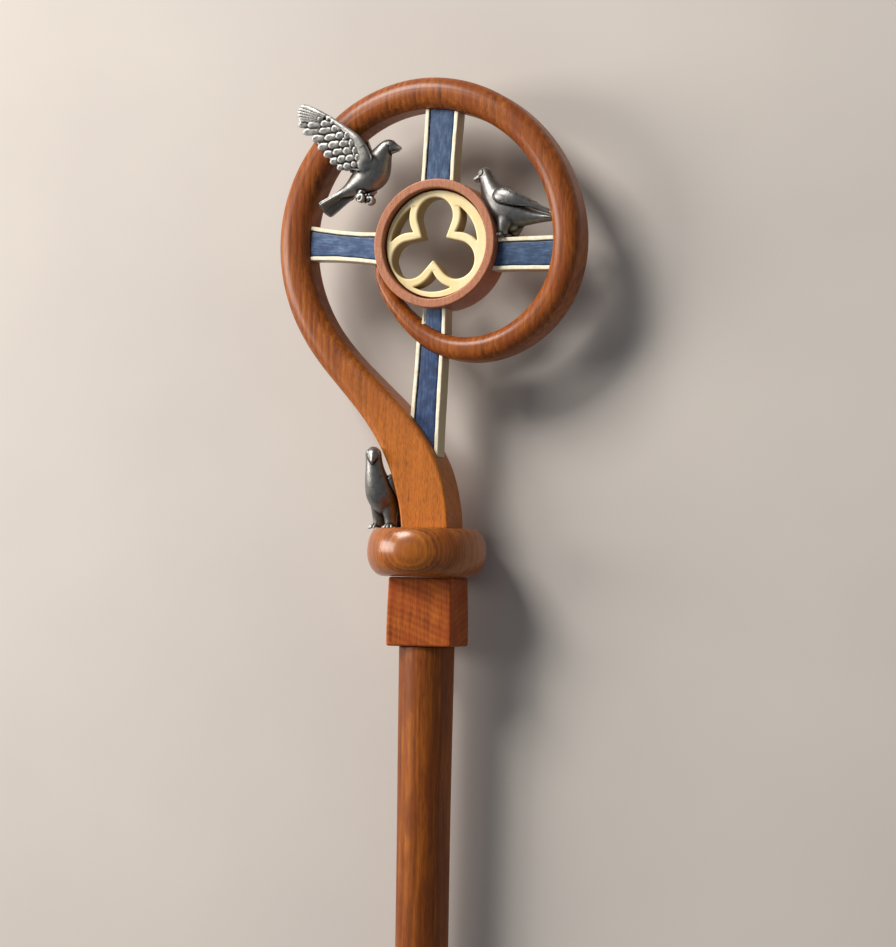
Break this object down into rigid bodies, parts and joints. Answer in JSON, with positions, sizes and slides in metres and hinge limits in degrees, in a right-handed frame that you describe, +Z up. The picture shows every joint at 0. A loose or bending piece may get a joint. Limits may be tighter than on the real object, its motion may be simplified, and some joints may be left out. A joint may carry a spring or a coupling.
{
  "type": "bishop crosier",
  "caption": "Carved wooden bishop's crosier: spiral crook on a turned knop and staff, with a painted cross, a pierced trefoil boss and cast metal doves.",
  "frame": {"origin": "on the floor under the middle of the lying crosier's box", "axes": "+Y along the staff from its foot to the crook, +Z up out of the face of the crook, +X to the right of the crook seen from above with the crook away"},
  "size_m": [0.2, 1.8006, 0.0716],
  "materials": {
    "staff_wood": "varnished brown hardwood, long grain, satin gloss",
    "block_wood": "oiled red-brown hardwood with figured end bands, satin",
    "knop_wood": "turned and varnished orange-brown hardwood, gloss",
    "crook_wood": "hand-carved, sanded and varnished orange-brown hardwood",
    "hub_wood": "matte pinkish-brown hardwood, lightly oiled",
    "cream_paint": "cream paint over wood, satin, warmer in the recesses",
    "arm_paint": "wood painted blue with brush streaks between cream edge strips, matte",
    "pewter": "cast pewter, antiqued dark in the hollows and rubbed bright on the high places"
  },
  "bodies": {
    "root": {"staff": "staff_wood", "block": "block_wood", "knop": "knop_wood", "crook": "crook_wood", "hub_ring": "hub_wood", "tracery": "cream_paint", "arm_top": "arm_paint", "arm_left": "arm_paint", "arm_right": "arm_paint", "arm_lower_inner": "arm_paint", "arm_lower_outer": "arm_paint", "dove_flying": "pewter", "dove_perched": "pewter", "dove_standing": "pewter"}
  },
  "joints": []
}
